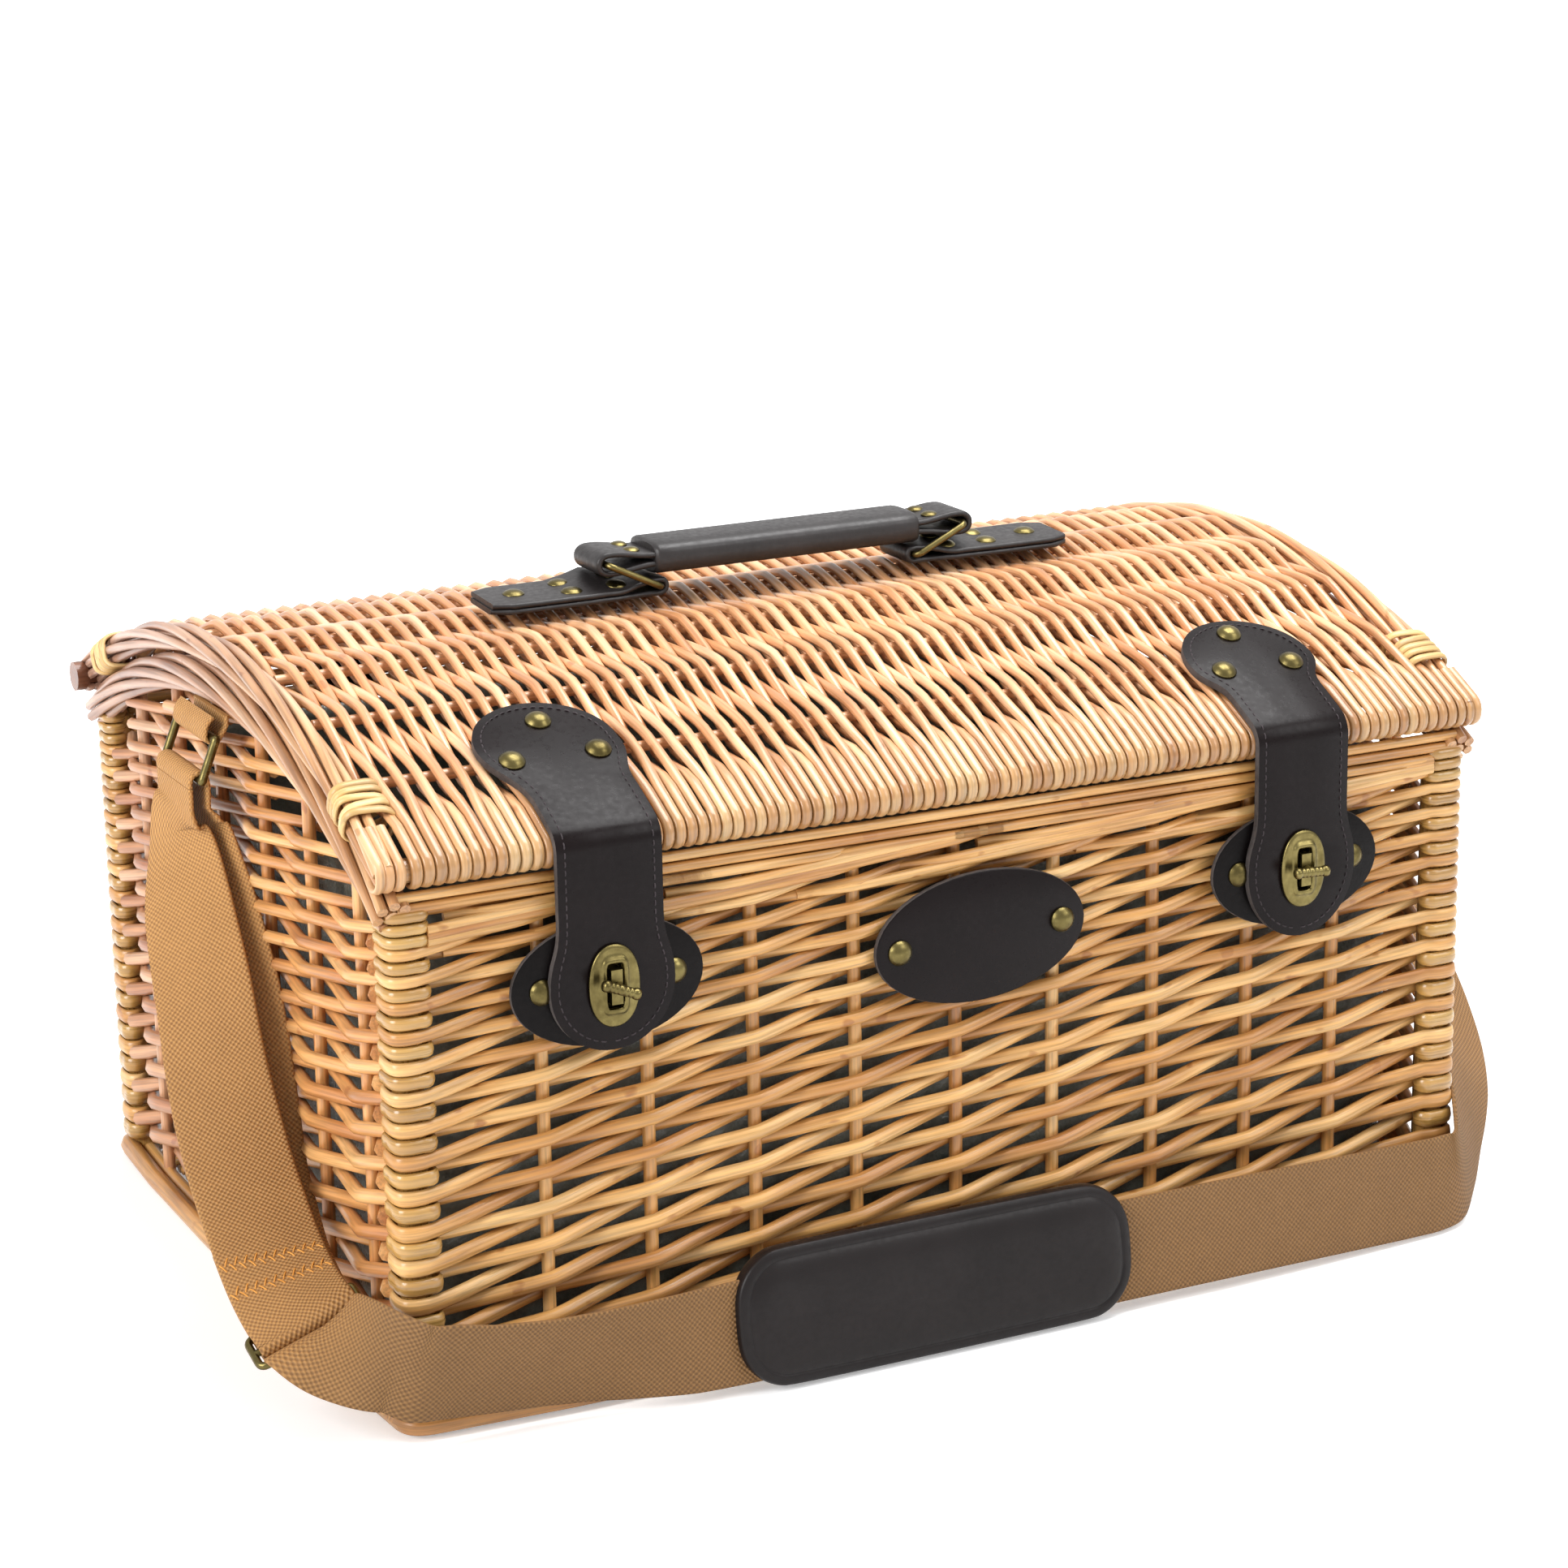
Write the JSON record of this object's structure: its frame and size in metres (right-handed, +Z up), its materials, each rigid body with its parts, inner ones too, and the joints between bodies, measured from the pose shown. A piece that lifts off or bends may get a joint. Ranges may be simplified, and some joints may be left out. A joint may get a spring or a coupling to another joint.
{
  "type": "wicker picnic basket",
  "caption": "Rectangular woven picnic basket with arched ends, a hinged domed lid, leather turn-lock straps, a top handle and a webbing shoulder strap with a pad.",
  "frame": {"origin": "on the floor under the middle of the basket's body", "axes": "+X along the length to the right as seen from the front, +Y to the back, +Z up"},
  "size_m": [0.556, 0.3729, 0.2856],
  "materials": {
    "willow": "varnished willow rods",
    "leather": "dark smooth leather",
    "brass": "antique, satin",
    "webbing": "coarse woven webbing",
    "lining": "dark insulated lining"
  },
  "bodies": {
    "body": {"base_panel": "willow", "front_wall": "willow", "back_wall": "willow", "left_end_wall": "willow", "right_end_wall": "willow", "front_left_post": "willow", "front_right_post": "willow", "back_left_post": "willow", "back_right_post": "willow", "front_rim": "willow", "back_rim": "willow", "liner": "lining", "badge": "leather", "badge_left_rivet": "brass", "badge_right_rivet": "brass", "shoulder_strap": "webbing", "strap_tail": "webbing", "strap_slider": "brass", "left_lock_patch": "leather", "left_lock_base": "brass", "left_patch_inner_rivet": "brass", "left_patch_outer_rivet": "brass", "left_strap_loop": "webbing", "left_strap_ring": "brass", "left_hinge_loop": "leather", "right_lock_patch": "leather", "right_lock_base": "brass", "right_patch_inner_rivet": "brass", "right_patch_outer_rivet": "brass", "right_strap_loop": "webbing", "right_strap_ring": "brass", "right_hinge_loop": "leather"},
    "lid": {"lid_panel": "willow", "lid_left_hoop": "willow", "lid_right_hoop": "willow", "lid_front_rail": "willow", "lid_back_rail": "willow", "left_strap_head": "leather", "left_strap_rivet_1": "brass", "left_strap_rivet_2": "brass", "left_strap_rivet_3": "brass", "left_handle_tab": "leather", "right_strap_head": "leather", "right_strap_rivet_1": "brass", "right_strap_rivet_2": "brass", "right_strap_rivet_3": "brass", "right_handle_tab": "leather"},
    "left_flap": {"left_strap_flap": "leather", "left_hasp_plate": "brass"},
    "right_flap": {"right_strap_flap": "leather", "right_hasp_plate": "brass"},
    "left_turn": {"left_turn_bar": "brass"},
    "right_turn": {"right_turn_bar": "brass"},
    "handle": {"handle_strap": "leather", "handle_sleeve": "leather"},
    "left_ring": {"left_handle_ring": "brass"},
    "right_ring": {"right_handle_ring": "brass"},
    "pad": {"shoulder_pad": "leather"}
  },
  "joints": [
    {"name": "lid_hinge", "type": "hinge", "parent": "body", "child": "lid", "pos_m": [0, 0.168, 0.214], "axis": [-1, 0, 0], "range_deg": [0, 105]},
    {"name": "left_flap_bend", "type": "hinge", "parent": "lid", "child": "left_flap", "pos_m": [-0.147, -0.1783, 0.21385], "axis": [-1, 0, 0], "range_deg": [0, 150]},
    {"name": "right_flap_bend", "type": "hinge", "parent": "lid", "child": "right_flap", "pos_m": [0.147, -0.1783, 0.21385], "axis": [-1, 0, 0], "range_deg": [0, 150]},
    {"name": "left_lock_turn", "type": "hinge", "parent": "body", "child": "left_turn", "pos_m": [-0.147, -0.185, 0.163], "axis": [0, 1, 0], "range_deg": [-22, 68]},
    {"name": "right_lock_turn", "type": "hinge", "parent": "body", "child": "right_turn", "pos_m": [0.147, -0.185, 0.163], "axis": [0, 1, 0], "range_deg": [-3, 87]},
    {"name": "handle_lift", "type": "slide", "parent": "lid", "child": "handle", "axis": [0, 0, 1], "range_m": [0, 0.0108]},
    {"name": "left_ring_swing", "type": "hinge", "parent": "lid", "child": "left_ring", "pos_m": [-0.053, -0.01, 0.26825], "axis": [0, 1, 0], "range_deg": [0, 36]},
    {"name": "right_ring_swing", "type": "hinge", "parent": "lid", "child": "right_ring", "pos_m": [0.061, -0.01, 0.26825], "axis": [0, -1, 0], "range_deg": [0, 36]},
    {"name": "pad_slide", "type": "slide", "parent": "body", "child": "pad", "axis": [1, 0, 0], "range_m": [-0.02, 0.02]}
  ],
  "couplings": [
    {"joint": "left_ring_swing", "follows": "handle_lift", "rad_per_m": 55.556},
    {"joint": "right_ring_swing", "follows": "handle_lift", "rad_per_m": 55.556}
  ]
}
